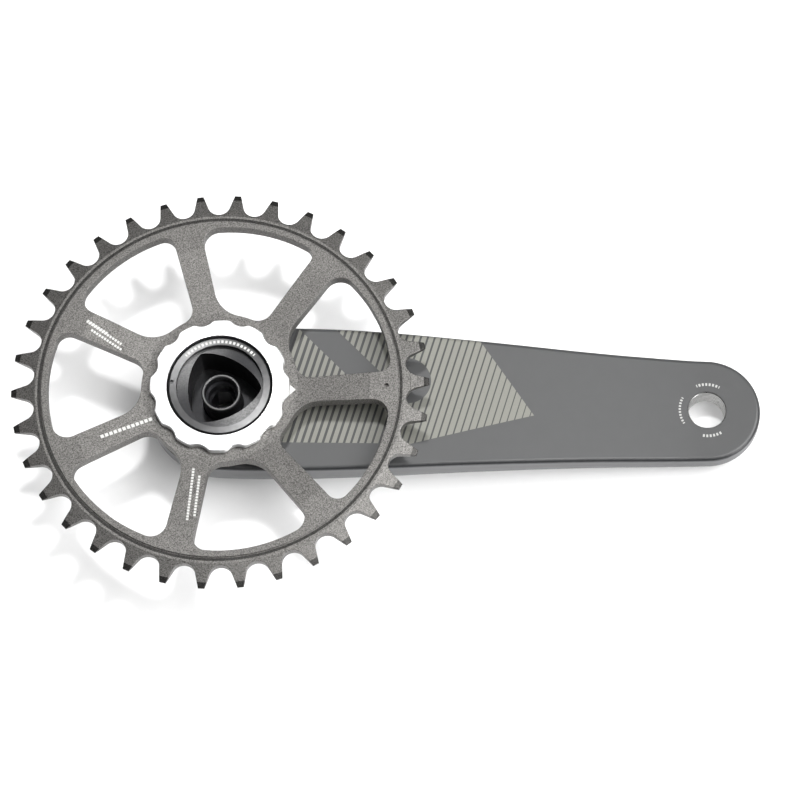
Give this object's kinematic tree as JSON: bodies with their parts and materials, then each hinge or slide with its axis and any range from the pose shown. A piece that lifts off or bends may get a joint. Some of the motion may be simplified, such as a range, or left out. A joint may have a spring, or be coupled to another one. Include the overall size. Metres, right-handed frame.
{
  "type": "bicycle crankset",
  "caption": "Drive-side bicycle crank: tapered carbon arm with a pedal hole, direct-mount toothed chainring with open windows, scalloped lockring and captive bolt.",
  "frame": {"origin": "on the spindle axis, in the plane of the hub insert's inboard face", "axes": "+Z along the spindle axis, inboard towards the frame; +X along the arm to the pedal hole"},
  "size_m": [0.2613, 0.1452, 0.0347],
  "materials": {
    "carbon_satin": "satin clear-coated carbon laminate, painted mid grey",
    "foam": "closed-cell structural foam, sealed inside the arm",
    "black_anodised": "satin black anodised aluminium",
    "bare_aluminium": "bare machined aluminium thread",
    "blasted_anodised": "bead-blasted, warm dark grey anodised aluminium",
    "silver_anodised": "silver anodised aluminium",
    "steel": "plain stainless steel",
    "black_steel": "black oxide steel with a bright turned rim",
    "acetal": "black acetal",
    "cap_anodised": "satin black anodised aluminium",
    "seal_rubber": "nitrile rubber"
  },
  "bodies": {
    "crank": {"arm_inboard_skin": "carbon_satin", "arm_outboard_skin": "carbon_satin", "arm_foam_core": "foam", "hub_insert": "black_anodised", "pedal_insert": "bare_aluminium", "chainring": "blasted_anodised", "lockring": "silver_anodised", "lockring_washer": "steel", "bolt_glide_washer": "acetal", "extractor_cap": "cap_anodised", "extractor_seal": "seal_rubber"},
    "seat_washer": {"bolt_seat_washer": "steel"},
    "bolt": {"crank_bolt": "black_steel"}
  },
  "joints": [
    {"name": "bolt_float", "type": "slide", "parent": "crank", "child": "seat_washer", "axis": [0, 0, 1], "range_m": [0, 0.0004]},
    {"name": "bolt_spin", "type": "hinge", "parent": "seat_washer", "child": "bolt", "pos_m": [0, 0, -0.02], "axis": [0, 0, 1], "continuous": true}
  ]
}
